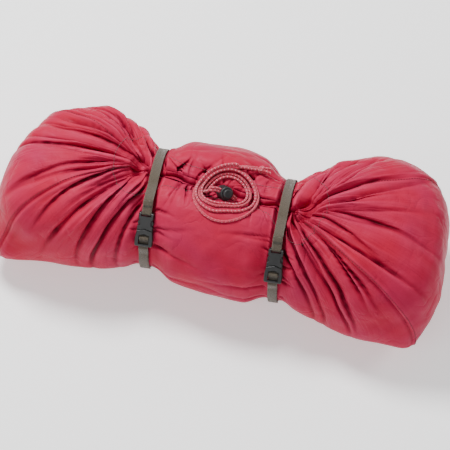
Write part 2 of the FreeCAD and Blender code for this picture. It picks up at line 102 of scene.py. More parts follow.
# Where the bag stands out or lies in from that form: place, size, rise.
LUMPS = [
    ((-206, 62, 104), 50, -13.5),
    ((-128, 62, 112), 30, 8),
    ((184, 66, 112), 44, 8),
    ((-212, -74, 42), 24, 10),
    ((212, -84, 36), 24, 5),
    ((158, -88, 44), 26, 7),
    ((228, -20, 70), 40, 3),
    ((224, -90, 30), 14, 4.5),
    ((-222, -76, 34), 15, 5),
]
END_START = 120.0               # the ends round off from here to END_TIP
END_TIP = 235.0
END_SQUARE = 3.5
BODY_DEPTH = 72.0               # turns the form's own measure into millimetres
VALLEY_BLEND = 7.0              # how softly the valley meets the body, and the floor meets both
FLOOR_BLEND = 3.0
FLOOR_GAP = 0.3                 # the cloth stays this far above the floor

MIDDLE_COLUMNS = 200            # columns of cloth along each long side of the mouth
FAN_COLUMNS = 220               # columns round each end of the mouth
ROWS = 180                      # rows from the mouth to the underside
FIRST_ROW = 6.0                 # the first of them lies this far along the form from the mouth's line
COLUMN_WIDTH = 1.7              # what a column counts for in the cloth's UV
CORE_HALF = 140.0               # the columns spread to this half length underneath
CORE_HEIGHT = 62.0
CLOSE_ROWS = 8                  # rows between the mouth's edge and the bottom of its lips
LIP_LENGTH = 6.0                # cloth length of those rows
MOUTH_DEPTH = 111.0
HEM_WIDTH = 38.0                # hem from the mouth's edge to its stitch line, at the ends
HEM_GATHERED = 13.0             # and where the sides gather it up
SEAM_TURNS = (43.3, 126.6, 234.6, 313.3)    # the end panels' seams, degrees of fan from the front right

LOCK_HALF = 7.0                 # the cord lock's barrel is as wide as it is long
LOCK_CLEARANCE = 0.5            # between the cloth and that barrel
SPRING_BOTTOM = -5.0            # along the barrel, from its middle
SPRING_TOP = -0.3
SPRING_RADIUS = 2.75
SPRING_WIRE = 0.25
SPRING_TURNS = 3


def fan_column(turn):
    """Column at an angle round the two fans, counted from where the right one starts."""
    side = MIDDLE_COLUMNS if turn < 180 else 2 * MIDDLE_COLUMNS
    return side + int(turn / 180 * FAN_COLUMNS)


def smooth_curve(x, places, values):
    """Smooth curve through values at places that never overshoots them."""
    step = np.diff(values) / np.diff(places)
    left, right = step[:-1], step[1:]
    inner = np.where(left * right > 0, 2 * left * right / (left + right + 1e-12), 0.0)
    slope = np.concatenate([step[:1], inner, step[-1:]])
    x = np.clip(x, places[0], places[-1])
    index = np.clip(np.searchsorted(places, x) - 1, 0, len(places) - 2)
    gap = places[index + 1] - places[index]
    t = (x - places[index]) / gap
    a, b = values[index], values[index + 1]
    m, n = slope[index] * gap, slope[index + 1] * gap
    return (a * (2 * t ** 3 - 3 * t ** 2 + 1) + m * (t ** 3 - 2 * t ** 2 + t)
            + b * (3 * t ** 2 - 2 * t ** 3) + n * (t ** 3 - t ** 2))


def smooth_step(t):
    t = np.clip(t, 0, 1)
    return t * t * (3 - 2 * t)


def slit_frame(point):
    """(along, across) of points in the mouth's own line."""
    turn = radians(SLIT_TURN)
    along = point[..., 0] * cos(turn) + point[..., 1] * sin(turn)
    across = -point[..., 0] * sin(turn) + point[..., 1] * cos(turn)
    return along, across


def round_max(a, b, size):
    return (a + b + np.sqrt((a - b) ** 2 + size ** 2)) / 2


def outside(point):
    """Roughly the distance in mm outside the full bag, negative within it."""
    x, y, z = point[..., 0], point[..., 1], point[..., 2]
    place = x + tan(radians(SKEW)) * (y + 5.0)
    centre, half_width, middle, half_height, square = (
        smooth_curve(place, FORM[:, 0], FORM[:, column]) for column in range(1, 6))
    across = np.abs((y - centre) / cos(radians(SKEW)) / half_width)
    up = np.abs((z - middle) / half_height)
    ring = (across ** square + up ** square) ** (1 / square)
    end = np.clip((np.abs(place) - END_START) / (END_TIP - END_START), 0, None)
    body = ((ring ** END_SQUARE + end ** END_SQUARE) ** (1 / END_SQUARE) - 1) * BODY_DEPTH
    for centre, size, rise in LUMPS:
        away = np.sum((point - np.array(centre)) ** 2, axis=-1)
        body = body - rise * np.exp(-away / (2.0 * size ** 2))
    along, offset = slit_frame(point)
    beyond = np.clip(np.abs(along) - SLIT_HALF, 0, None)
    narrow = smooth_step((np.abs(along) - 42) / 34.0)
    radius = VALLEY_RADIUS + (VALLEY_END_RADIUS - VALLEY_RADIUS) * narrow
    below = np.minimum(z - VALLEY_FLOOR - VALLEY_END_RISE * narrow - radius, 0)
    valley = radius - np.sqrt(beyond ** 2 + offset ** 2 + below ** 2)
    return round_max(round_max(body, valley, VALLEY_BLEND), -z, FLOOR_BLEND)


def ring_columns():
    """For each column of cloth: where it starts along the mouth, and its direction seen from above."""
    run = 2 * SLIT_HALF * (np.arange(MIDDLE_COLUMNS) + 0.5) / MIDDLE_COLUMNS
    turn = 180.0 * (np.arange(FAN_COLUMNS) + 0.5) / FAN_COLUMNS
    along = np.concatenate([-SLIT_HALF + run, np.full(FAN_COLUMNS, SLIT_HALF),
                            SLIT_HALF - run, np.full(FAN_COLUMNS, -SLIT_HALF)])
    angle = np.concatenate([np.full(MIDDLE_COLUMNS, -90.0), -90.0 + turn,
                            np.full(MIDDLE_COLUMNS, 90.0), 90.0 + turn])
    return along, np.radians(angle)


def form_points(along, angle, samples=260):
    """Each column's way over the bare form, from the mouth's line to the underside."""
    polar = np.linspace(0.0, pi, samples)[:, None]
    spread = smooth_step(polar / radians(100))
    core_x = along * (1 + (CORE_HALF / SLIT_HALF - 1) * spread)
    turn = radians(SLIT_TURN) * (1 - spread)
    middle = -3.0 * spread
    skew = radians(SKEW)
    core = np.stack([core_x * np.cos(turn), core_x * np.sin(turn) + middle,
                     CORE_HEIGHT + 0 * core_x], axis=-1)
    tilt = radians(SLIT_TURN) * (1 - spread) + skew * spread
    heading = angle[None, :] + tilt
    way = np.stack([np.sin(polar) * np.cos(heading), np.sin(polar) * np.sin(heading),
                    np.cos(polar) + 0 * heading], axis=-1)
    low = np.zeros(core_x.shape)
    high = np.full(core_x.shape, 140.0)
    for _ in range(26):
        half = (low + high) / 2
        inside = outside(core + way * half[..., None]) < 0
        low = np.where(inside, half, low)
        high = np.where(inside, high, half)
    return core + way * high[..., None]


def spaced_rows(lines):
    """Points along each line, close together near the mouth and wider apart below, and their places on it."""
    length = np.concatenate([np.zeros((1, lines.shape[1])),
                             np.cumsum(np.linalg.norm(np.diff(lines, axis=0), axis=-1), axis=0)])
    share = (np.arange(ROWS) / (ROWS - 1)) ** 1.25
    places = FIRST_ROW + (length[-1] - FIRST_ROW) * share[:, None]
    result = np.zeros((ROWS, lines.shape[1], 3))
    for column in range(lines.shape[1]):
        for axis in range(3):
            result[:, column, axis] = np.interp(places[:, column], length[:, column], lines[:, column, axis])
    return result, places


SEAMS = [fan_column(turn) for turn in SEAM_TURNS]


def next_column(array):
    return np.roll(array, -1, axis=1)


def surface_normals(points):
    """Outward normals of the cloth's grid."""
    across = np.roll(points, -1, axis=1) - np.roll(points, 1, axis=1)
    down = np.gradient(points, axis=0)
    normal = np.cross(down, across)
    size = np.linalg.norm(normal, axis=-1, keepdims=True)
    return normal / np.maximum(size, 1e-9)


def waves(point, size, seed, count=9):
    """Smooth uneven field of roughly unit height, with lumps of the given size."""
    random = np.random.default_rng(seed)
    total = 0.0
    for _ in range(count):
        direction = random.normal(size=3)
        direction /= np.linalg.norm(direction)
        pitch = 2 * pi / (size * random.uniform(0.7, 1.6))
        total = total + np.sin(point @ direction * pitch + random.uniform(0, 2 * pi))
    return total / np.sqrt(count)


def scatter(first, last, count, random):
    """Evenly spaced places with a little unevenness."""
    gap = (last - first) / count
    return [first + gap * (step + 0.5 + random.uniform(-0.36, 0.36)) for step in range(count)]


def crease(offset, width, side):
    """Section of a fold: a sharp bottom, steep towards one side and easing out on the other."""
    slope = np.where(offset * side > 0, 1.9, 0.85)
    reach = np.sqrt((offset * slope / width) ** 2 + 0.010) - 0.10
    return 0.62 * np.exp(-2.2 * reach) + 0.38 * np.exp(-0.75 * reach)


def drawn(random, spans):
    """A number drawn from each span in turn; one that is a plain number is taken as it is."""
    return tuple(random.uniform(*span) if isinstance(span, tuple) else span for span in spans)


# Folds out of each end of the mouth: count, columns past the fan on either side, how much shorter they
# are behind, then reach, depth, width, drift in columns and lean.
FAN_PLEATS = [
    (22, 24, 0.2, ((130, 220), (8, 15), (1.8, 3.2), (-14, 14), (-1, 1))),
    (26, 20, 0.0, ((36, 110), (3, 6.5), (1.0, 1.8), (-8, 8), (-1, 1))),
    (12, 16, 0.0, ((70, 160), (-4.5, -2.5), (1.0, 1.8), (-12, 12), 0.0)),
]
SIDE_PLEATS = ((14, 46), (3.0, 9.5), (1.6, 3.8), (-34, 34), (-1.4, 1.4))
SIDE_MARGIN = 38                # columns at each end of a long side without pleats of its own


def pleat_list():
    """Folds that run out from the mouth: column, reach, depth, width, drift in columns, lean, steep side."""
    random = np.random.default_rng(11)
    side, fan = MIDDLE_COLUMNS, FAN_COLUMNS
    pleats = []
    for gather, back in ((side + fan / 2, 1), (2 * side + 1.5 * fan, -1)):
        for count, past, shorter, spans in FAN_PLEATS:
            for column in scatter(gather - fan / 2 - past, gather + fan / 2 + past, count, random):
                behind = smooth_step(0.35 + back * (column - gather) / fan)
                reach, *rest = drawn(random, spans)
                pleats.append((column, reach * (1 - shorter * behind), *rest, random.choice((-1, 1))))
    for first in (SIDE_MARGIN, SIDE_MARGIN + side + fan):
        for column in scatter(first, first + side - 2 * SIDE_MARGIN, 15, random):
            pleats.append((column, *drawn(random, SIDE_PLEATS), random.choice((-1, 1))))
    return pleats


def mouth_folds(points, reach_from_mouth):
    """How far those folds draw the cloth in, and how far they lean it along the ring."""
    columns = points.shape[1]
    ring = np.linalg.norm(next_column(points) - points, axis=-1)
    around = np.concatenate([np.zeros((len(points), 1)), np.cumsum(ring, axis=1)], axis=1)
    depth = np.zeros(points.shape[:2])
    shift = np.zeros(points.shape[:2])
    rows = np.arange(len(points))
    total = around[:, -1:]
    for column, reach, deep, wide, drift, lean, steep in pleat_list():
        near = int(round(column)) % columns
        distance = reach_from_mouth[:, near]
        centre = (column + drift * smooth_step(distance / reach)) % columns
        left = np.floor(centre).astype(int)
        place = around[rows, left] + (centre - left) * (around[rows, left + 1] - around[rows, left])
        offset = around[:, :-1] - place[:, None]
        offset = (offset + total / 2) % total - total / 2
        width = wide * (0.5 + np.sqrt(distance / 26.0))
        start = smooth_step((distance + 5) / 12.0)
        fade = start * (1 - smooth_step((distance - 0.3 * reach) / (0.7 * reach)))
        dent = (deep * fade)[:, None] * crease(offset, width[:, None], steep)
        depth += dent
        shift += lean * dent
    return depth, shift


def strap_fold_list(side):
    """Folds that run out from a strap's edge: angle, side, start past the mouth, reach, depth, width,
    drift in degrees, steep side."""
    random = np.random.default_rng(5 if side == "left" else 6)
    inner = -1 if STRAPS[side]["x"] > 0 else 1
    groups = []
    for sign in (-1, 1):
        near, past, count = (60, 8, 18) if sign == inner else (36, 34, 38)
        groups.append((sign, -175, 170, count, past, ((14, near), (1.6, 4.2), (2.4, 4.4), (-7, 7))))
        first, last, count = (112, 214, 3) if sign == inner else (-150, 60, 9)
        groups.append((sign, first, last, count, 16, ((70, 125), (2.2, 4.0), (3.0, 5.0), (-16, 16))))
    groups.append((inner, -40, 62, 5, 16, ((50, 100), (1.8, 3.4), (3.0, 5.0), (-16, 16))))
    folds = []
    for sign, first, last, count, past, spans in groups:
        for angle in scatter(first, last, count, random):
            folds.append((angle, sign, past, *drawn(random, spans), random.choice((-1, 1))))
    return folds


def strap_folds(points, distance):
    """How far the straps' own folds draw the cloth in."""
    depth = np.zeros(points.shape[:2])
    for side, strap in STRAPS.items():
        away = strap_place(points, strap)
        back, up = points[..., 1] - strap["y"], points[..., 2] - strap["middle"]
        turn = np.degrees(np.arctan2(up, back))
        radius = np.hypot(up, back)
        for angle, sign, past, reach, deep, wide, drift, steep in strap_fold_list(side):
            run = np.clip(sign * away, 0, None)
            bend = angle + drift * (run / reach) ** 1.4
            offset = np.radians((turn - bend + 180) % 360 - 180) * radius
            width = wide * (0.45 + run / 34.0)
            fade = smooth_step((run - 4) / 6) * (1 - smooth_step((run - 0.2 * reach) / (0.8 * reach)))
            depth += deep * fade * smooth_step((distance - past) / 24.0) * crease(offset, width, steep)
    return depth


def strap_place(point, strap):
    """Distance along the bag from a strap's middle plane."""
    skew = radians(SKEW)
    return (point[..., 0] - strap["x"]) * cos(skew) + (point[..., 1] - strap["y"]) * sin(skew)


def pull(points, rows, columns, rest, stiffness):
    """Draw each point and the one so many rows and columns on towards their rest length."""
    count = len(points) - rows
    gap = np.roll(points, -columns, axis=1)[rows:] - points[:count]
    length = np.maximum(np.linalg.norm(gap, axis=-1), 1e-6)
    move = gap * ((length - rest) / length * (0.25 * stiffness))[..., None]
    points = points.copy()
    points[:count] += move
    points[rows:] -= np.roll(move, columns, axis=1)
    return points


def settle(points, form, normal, ring, down, deepest, highest, held, steps):
    """Let the cloth ease: edges keep their cut length, and it stays close to the form."""
    across = np.sqrt(((ring[:-1] + ring[1:]) / 2) ** 2 + down ** 2)
    edges = [(0, 1, ring, 1.2), (1, 0, down, 1.2), (1, 1, across, 0.4), (1, -1, across, 0.4),
             (0, 2, ring + next_column(ring), 0.2), (2, 0, down[:-1] + down[1:], 0.3)]
    for _ in range(steps):
        for edge in edges:
            points = pull(points, *edge)
        rise = np.sum((points - form) * normal, axis=-1)
        points = points + normal * (np.clip(rise, -deepest, highest) - rise)[..., None]
        points[held] = form[held] + (points[held] - form[held]) * 0.9
        points[..., 2] = np.maximum(points[..., 2], FLOOR_GAP)
    return points


def close_mouth(edge, along, angle):
    """Rows that carry the cloth from the mouth's edge down between its gathered lips."""
    turn = radians(SLIT_TURN)
    meander = 1.8 * np.sin(along / 9.0 + 1.0) + 1.2 * np.sin(along / 4.3)
    heading = np.abs(np.cos(angle))
    centre_along = along * 0.995
    centre_off = meander * (1 - heading) + 0.5 * np.sin(angle)
    centre = np.stack([centre_along * cos(turn) - centre_off * sin(turn),
                       centre_along * sin(turn) + centre_off * cos(turn),
                       MOUTH_DEPTH + 1.2 * np.sin(along / 3.1)], axis=-1)
    rows = []
    for step in range(CLOSE_ROWS):
        share = 1 - step / CLOSE_ROWS
        reach = centre - edge
        point = edge.copy()
        point[:, 2] = edge[:, 2] + 1.6 * sin(share * pi) + reach[:, 2] * (1 - cos(share * pi / 2))
        point[:, :2] = edge[:, :2] + reach[:, :2] * sin(share * pi / 2)
        rows.append(point)
    return np.array(rows)


def valleys(points, normal):
    """How far each point lies below (positive) or above its neighbours, in mm."""
    beside = (np.roll(points, -2, axis=1) + np.roll(points, 2, axis=1)) / 2 - points
    padded = np.concatenate([points[:1], points[:1], points, points[-1:], points[-1:]])
    below = (padded[4:] + padded[:-4]) / 2 - points
    sunk = np.sum((beside + 0.7 * below) * normal, axis=-1)
    for _ in range(2):
        sunk = 0.5 * sunk + 0.25 * (np.roll(sunk, 1, axis=1) + np.roll(sunk, -1, axis=1))
        sunk[1:-1] = 0.5 * sunk[1:-1] + 0.25 * (sunk[2:] + sunk[:-2])
    return sunk


def seam_dent(form, distance):
    """Each sewn seam's own fine groove, beside the roll of its folded edges."""
    dent = np.zeros(form.shape[:2])
    rows = np.arange(len(form))
    for column in SEAMS:
        place = form[rows, column]
        offset = np.linalg.norm(form - place[:, None, :], axis=-1)
        half = form.shape[1] / 2
        side = np.sign((np.arange(form.shape[1]) - column + half) % (2 * half) - half)[None, :]
        fade = smooth_step((distance[:, column] - HEM_WIDTH) / 25.0)[:, None]
        groove = 1.3 * np.exp(-(offset / 1.4) ** 2)
        roll = 0.9 * np.exp(-((offset * side - 3.2) / 2.2) ** 2)
        dent += fade * (groove - roll)
    return dent


def lock_place():
    """Middle of the cord lock's barrel, and its axis towards the button."""
    low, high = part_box("cordlock_barrel")
    press = next(joint for joint in frame["joints"] if joint["name"] == "cordlock_press")
    return (np.array(low) + np.array(high)) / 2 / MM, -unit(np.array(press["axis"]))


def clear_of_lock(points):
    """Press the cloth down until none of it reaches into the cord lock's barrel."""
    middle, axis = lock_place()
    points = points.copy()
    for _ in range(40):
        gap = points - middle
        along = gap @ axis
        beside = np.linalg.norm(gap - along[..., None] * axis, axis=-1)
        inside = LOCK_HALF + LOCK_CLEARANCE - np.maximum(np.abs(along), beside)
        points[..., 2] -= np.clip(inside, 0, 0.8)
    return points


def build_cloth():
    """The whole cloth as a grid of rows and columns, with its distance from the mouth's edge."""
    along, angle = ring_columns()
    form, places = spaced_rows(form_points(along, angle))
    normal = surface_normals(form)
    distance = places - places[:1]
    gap = np.full(form.shape[:2], 1e3)
    for strap in STRAPS.values():
        gap = np.minimum(gap, np.abs(strap_place(form, strap)))
    free = smooth_step((gap - STRAP_HALF - 0.3) / 4.5)
    low = 0.12 + 0.88 * smooth_step((form[..., 2] - 10) / 58.0)
    depth, shift = mouth_folds(form, distance)
    depth = depth * (0.9 + 0.2 * waves(form, 50.0, 8)) + strap_folds(form, distance)
    swell = (3.0 * np.exp(-distance / 40.0) + 1.5 * waves(form, 60.0, 4) + 0.3 * waves(form, 17.0, 3)
             + 1.3 * np.exp(-distance / 24.0) * waves(form, 11.0, 9)
             + 0.75 * depth.mean(axis=1, keepdims=True))
    rise = swell - depth
    rise = np.where(rise > 3.5, 3.5 + (rise - 3.5) * 0.45, rise)
    rise = np.where(rise < -9, -9 + (rise + 9) * 0.35, rise)
    rise = (rise - seam_dent(form, distance)) * free * low
    tangent = np.roll(form, -1, axis=1) - np.roll(form, 1, axis=1)
    tangent = tangent / np.maximum(np.linalg.norm(tangent, axis=-1, keepdims=True), 1e-9)
    cloth = form + normal * rise[..., None] + tangent * (shift * free * low * 0.55)[..., None]
    cloth[..., 2] = np.maximum(cloth[..., 2], FLOOR_GAP)
    ring = np.linalg.norm(next_column(cloth) - cloth, axis=-1)
    down = np.linalg.norm(np.diff(cloth, axis=0), axis=-1)
    ring = ring * (1.0 + 0.08 * np.exp(-distance / 30.0))
    down = down * (1.0 + 0.02 * np.exp(-distance[1:] / 40.0))
    held = np.zeros(form.shape[:2], bool)
    held[[0, -1]] = True
    under = gap < STRAP_HALF + 1
    steps = 14
    cloth = settle(cloth, cloth.copy(), normal, ring, down, np.where(under, 0.2, 1.0),
                   np.where(under, 0.0, 1.2), held, steps)
    lips = close_mouth(cloth[0], along, angle)
    cloth = np.concatenate([lips[::-1], cloth])
    inner = -np.arange(CLOSE_ROWS, 0, -1)[:, None] * (LIP_LENGTH / CLOSE_ROWS) + 0 * distance[:1]
    return cloth, np.concatenate([inner, distance])


def mesh_piece(name, points, faces, material, uv=None, hollow=None):
    """Mesh object in metres from points in millimetres; uv is a pair and hollow a number for each point."""
    mesh = bpy.data.meshes.new(name)
    mesh.from_pydata((np.asarray(points) * MM).tolist(), [], faces)
    if uv is not None:
        layer = mesh.uv_layers.new(name="UVMap")
        loops = np.zeros(len(mesh.loops), int)
        mesh.loops.foreach_get("vertex_index", loops)
        layer.data.foreach_set("uv", np.asarray(uv)[loops].astype(np.float32).reshape(-1))
    mesh.polygons.foreach_set("use_smooth", np.ones(len(mesh.polygons), bool))
    if hollow is not None:
        sunken = mesh.attributes.new("hollow", "FLOAT", "POINT")
        sunken.data.foreach_set("value", hollow.astype(np.float32))
    mesh.materials.append(material)
    mesh.update()
    piece = bpy.data.objects.new(name, mesh)
    bpy.context.scene.collection.objects.link(piece)
    return piece


def grid_object(name, points, distance, hollow, span, material):
    """Mesh of a span of the cloth's columns, with cloth lengths as its UV."""
    index = np.arange(span[0], span[1] + 1)
    columns = index % points.shape[1]
    corner = np.arange(len(points) * len(index)).reshape(len(points), len(index))
    faces = np.stack([corner[:-1, :-1], corner[1:, :-1], corner[1:, 1:], corner[:-1, 1:]], axis=-1)
    uv = np.stack(np.broadcast_arrays(index * COLUMN_WIDTH * MM, distance[:, columns] * MM), axis=-1)
    return mesh_piece(name, points[:, columns].reshape(-1, 3), faces.reshape(-1, 4).tolist(), material,
                      uv.reshape(-1, 2), hollow[:, columns].reshape(-1))


def on_sack(piece, slot, *nodes):
    """Fix a piece to the bag's body, in place of CAD nodes; slot is not used."""
    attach(piece, "sack")
    if nodes:
        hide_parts(*nodes)
    return piece


def line_length(path):
    return np.concatenate([[0.0], np.cumsum(np.linalg.norm(np.diff(path, axis=0), axis=1))])


def unit(vector):
    return vector / np.maximum(np.linalg.norm(vector, axis=-1, keepdims=True), 1e-9)


def sweep(path, section, sides):
    """Points and faces of a closed section carried along a path; sides are its x directions."""
    tangent = unit(np.gradient(path, axis=0))
    across = unit(sides - tangent * np.sum(sides * tangent, axis=1, keepdims=True))
    up = np.cross(tangent, across)
    points = (path[:, None] + across[:, None] * section[None, :, :1] + up[:, None] * section[None, :, 1:])
    count, size = len(path), len(section)
    corner = np.arange(count * size).reshape(count, size)
    after = np.roll(corner, -1, axis=1)
    faces = np.stack([corner[:-1], after[:-1], after[1:], corner[1:]], axis=-1).reshape(-1, 4).tolist()
    faces.append(corner[0][::-1].tolist())
    faces.append(corner[-1].tolist())
    return points.reshape(-1, 3), faces


def turned_sides(path):
    """A direction square to the path at each point that twists as little as it can."""
    tangent = unit(np.gradient(path, axis=0))
    side = np.cross(tangent[0], (0.0, 0.0, 1.0))
    if np.linalg.norm(side) < 0.1:
        side = np.cross(tangent[0], (1.0, 0.0, 0.0))
    sides = []
    for direction in tangent:
        side = side - direction * np.dot(side, direction)
        side = side / np.linalg.norm(side)
        sides.append(side)
    return np.array(sides)


def round_section(radius, count):
    angle = np.linspace(0, 2 * pi, count, endpoint=False)
    return np.stack([radius * np.cos(angle), radius * np.sin(angle)], axis=1)


def along_line(places, length, values):
    """Values at places on a line, each axis on its own."""
    return np.stack([np.interp(places, length, values[:, axis]) for axis in range(3)], axis=-1)


def tube_piece(name, path, radius, material, count=12, shape=None):
    """Round tube along a path, with its length and turn as UV; shape scales the radius along it."""
    path = np.asarray(path, float)
    points, faces = sweep(path, round_section(1.0, count), turned_sides(path))
    scale = np.full(len(path), float(radius)) if shape is None else radius * shape
    points = points.reshape(len(path), count, 3)
    points = path[:, None] + (points - path[:, None]) * scale[:, None, None]
    along = np.repeat(line_length(path) * MM, count)
    around = np.tile(np.arange(count) / count, len(path))
    around = 0.5 - np.abs(around - 0.5)
    return mesh_piece(name, points.reshape(-1, 3), faces, material, np.stack([along, around], axis=1))


def spline_path(points):
    """Points along the smooth spline that has the given ones as its control points."""
    curve = bpy.data.curves.new("route", "CURVE")
    curve.dimensions = "3D"
    curve.resolution_u = 12
    line = curve.splines.new("NURBS")
    line.points.add(len(points) - 1)
    for target, point in zip(line.points, points):
        target.co = (point[0], point[1], point[2], 1.0)
    line.order_u = 3
    line.use_endpoint_u = True
    holder = bpy.data.objects.new("route", curve)
    bpy.context.scene.collection.objects.link(holder)
    bpy.context.view_layer.update()
    mesh = bpy.data.meshes.new_from_object(holder)
    found = np.array([vertex.co[:] for vertex in mesh.vertices])
    bpy.data.objects.remove(holder)
    bpy.data.meshes.remove(mesh)
    return found


STITCH_PITCH = 3.0


def stitches(name, path, normals, material, dash, radius):
    """Row of sewn stitches along a path on the cloth, each a short thread that dips at its ends."""
    length = line_length(path)
    points, faces = [], []
    for number in range(int(length[-1] / STITCH_PITCH)):
        places = number * STITCH_PITCH + np.array([0.0, 0.15, 0.5, 0.85, 1.0]) * dash
        normal = unit(along_line(places, length, normals))
        lift = np.array([-0.35, 0.12, 0.26, 0.12, -0.35]) + 0.1
        middle = along_line(places, length, path) + normal * lift[:, None]
        sides = np.cross(normal, unit(np.gradient(middle, axis=0)))
        block, shape = sweep(middle, round_section(radius, 6), sides)
        faces += [[index + len(points) * len(block) for index in face] for face in shape]
        points.append(block)
    return mesh_piece(name, np.concatenate(points), faces, material)


# ---- materials ----------------------------------------------------------

RIPSTOP_WAVE = 0.0104           # metres; the ripstop's lines lie half of this apart
# Metres between the webbing's ribs along it and across it, and between the cord's flecks.
RIB_PITCH = 0.0011
ROW_PITCH = 0.00125
FLECK_PITCH = 0.0038
TAPE_MIDDLE = 0.005


class Shader:
    """A material, with short ways to add nodes fed by numbers or by other nodes' outputs."""

    def __init__(self, name):
        self.material = bpy.data.materials.new(name)
        self.material.use_nodes = True
        self.nodes = self.material.node_tree.nodes

    def feed(self, node, values):
        for key, value in values.items():
            if isinstance(value, bpy.types.NodeSocket):
                self.material.node_tree.links.new(value, node.inputs[key])
            else:
                node.inputs[key].default_value = value

    def add(self, kind, output, values, **settings):
        """New node with its settings made and its inputs fed; gives one of its outputs."""
        node = self.nodes.new("ShaderNode" + kind)
        for key, value in settings.items():
            setattr(node, key, value)
        self.feed(node, values)
        return node.outputs[output]

    def surface(self, values):
        """Feed the surface itself, and give the finished material."""
        self.feed(self.nodes["Principled BSDF"], values)
        return self.material

    def object_place(self):
        return self.add("TexCoord", "Object", {})

    def cloth_place(self):
        """The UV, and its lengths along and down the piece."""
        both = self.add("UVMap", "UV", {}, uv_map="UVMap")
        along = self.add("SeparateXYZ", "X", {0: both})
        return both, along, along.node.outputs["Y"]

    def math(self, operation, *values, clamp=False):
        return self.add("Math", 0, dict(enumerate(values)), operation=operation, use_clamp=clamp)

    def noise(self, place, scale, detail, distortion=0.0):
        return self.add("TexNoise", "Fac", {"Vector": place, "Scale": scale, "Detail": detail,
                                            "Distortion": distortion})

    def mix(self, factor, colour, other):
        return self.add("Mix", 2, {"Factor": factor, 6: colour, 7: (*other, 1)}, data_type="RGBA")

    def ramp(self, value, *stops):
        """Colour that runs through the stops, each a place and a colour."""
        colour = self.add("ValToRGB", "Color", {"Fac": value})
        elements = colour.node.color_ramp.elements
        while len(elements) < len(stops):
            elements.new(0.5)
        for element, (place, shade) in zip(elements, stops):
            element.position = place
            element.color = (*shade, 1)
        return colour

    def bump(self, *layers):
        """Surface normal from layers of height, distance and strength, coarsest first."""
        below = {}
        for height, distance, strength in layers:
            values = {"Height": height, "Distance": distance, "Strength": strength, **below}
            below = {"Normal": self.add("Bump", "Normal", values)}
        return below["Normal"]

    def wave(self, value, pitch):
        """Sine of a length, one wave to each pitch."""
        return self.math("SINE", self.math("MULTIPLY", value, 2 * pi / pitch))

    def ridges(self, place, scale, distortion):
        """Height with sharp thin creases where a noise crosses its middle."""
        middle = self.math("SUBTRACT", self.noise(place, scale, 1.5, distortion), 0.5)
        return self.math("POWER", self.math("ABSOLUTE", middle), 0.6)

    def ripstop(self, value):
        """Thin raised lines, where a wave is at its highest or lowest."""
        return self.math("POWER", self.math("ABSOLUTE", self.wave(value, RIPSTOP_WAVE)), 26.0)


def fabric_material(name):
    """Coated ripstop nylon: crimson, satin, with a fine weave, a ripstop grid and small creases; painted
    sheen in magenta patches, painted shade in the creases and a painted highlight on the ridges.
    """
    shader = Shader(name)
    place = shader.object_place()
    _, u, v = shader.cloth_place()
    # Painted sheen: random patches tinted from crimson towards magenta stand in for the satin's pinkish
    # sheen.
    colour = shader.ramp(shader.noise(place, 17.0, 2.0), (0.25, (0.41, 0.009, 0.032)),
                         (0.5, (0.40, 0.013, 0.046)), (0.75, (0.38, 0.018, 0.064)))
    hollow = shader.add("Attribute", "Fac", {}, attribute_name="hollow")
    # Painted highlight: the cloth's raised ridges are lightened towards pink.
    ridge_painted_highlight = shader.math("MULTIPLY", hollow, -0.35, clamp=True)
    # Painted shade: the cloth's sunk creases are darkened towards near black.
    sunk = shader.math("MULTIPLY", hollow, 0.52, clamp=True)
    colour = shader.mix(ridge_painted_highlight, colour, (0.60, 0.050, 0.125))
    colour = shader.mix(sunk, colour, (0.10, 0.002, 0.010))
    stretched = shader.add("CombineXYZ", 0, {0: shader.math("MULTIPLY", u, 150.0),
                                             1: shader.math("MULTIPLY", v, 9.0)})
    from_middle = shader.math("ABSOLUTE", shader.add("SeparateXYZ", "X", {0: place}))
    outer = shader.math("MULTIPLY", shader.math("SUBTRACT", from_middle, 0.074), 40.0, clamp=True)
    near = shader.math("POWER", 2.718, shader.math("MULTIPLY", v, -10.0))
    pleated = shader.math("MULTIPLY", near, shader.ridges(stretched, 1.0, 0.5))
    pleated = shader.math("MULTIPLY", outer, pleated)
    grid = shader.math("MAXIMUM", shader.ripstop(u), shader.ripstop(v))
    return shader.surface({
        "Base Color": colour, "IOR": 1.15, "Specular Tint": (1.0, 0.62, 0.80, 1),
        "Sheen Weight": 0.02, "Sheen Roughness": 0.5, "Sheen Tint": (1.0, 0.30, 0.60, 1),
        "Roughness": shader.math("MULTIPLY_ADD", shader.noise(place, 38.0, 3.0), 0.22, 0.30),
        "Normal": shader.bump((pleated, 0.005, 0.55), (shader.ridges(place, 24.0, 1.2), 0.0035, 0.5),
                              (shader.noise(place, 70.0, 3.0), 0.0008, 0.25),
                              (shader.noise(place, 260.0, 4.0), 0.0003, 0.4), (grid, 0.00012, 0.5))})


def webbing_material(name, colour, light):
    """Flat woven tape: fine ribs across it in rows that slant from its middle."""
    shader = Shader(name)
    both, u, v = shader.cloth_place()
    slant = shader.math("ADD", u, shader.math("ABSOLUTE", shader.math("SUBTRACT", v, TAPE_MIDDLE)))
    weave = shader.math("MULTIPLY", shader.wave(slant, RIB_PITCH), shader.wave(v, ROW_PITCH))
    mixed = shader.math("MULTIPLY_ADD", weave, 0.22, shader.noise(both, 900.0, 3.0))
    return shader.surface({
        "Base Color": shader.ramp(mixed, (0.3, colour), (0.75, light)), "Roughness": 0.72,
        "Sheen Weight": 0.3, "Specular IOR Level": 0.3, "Normal": shader.bump((weave, 0.00025, 0.8))})


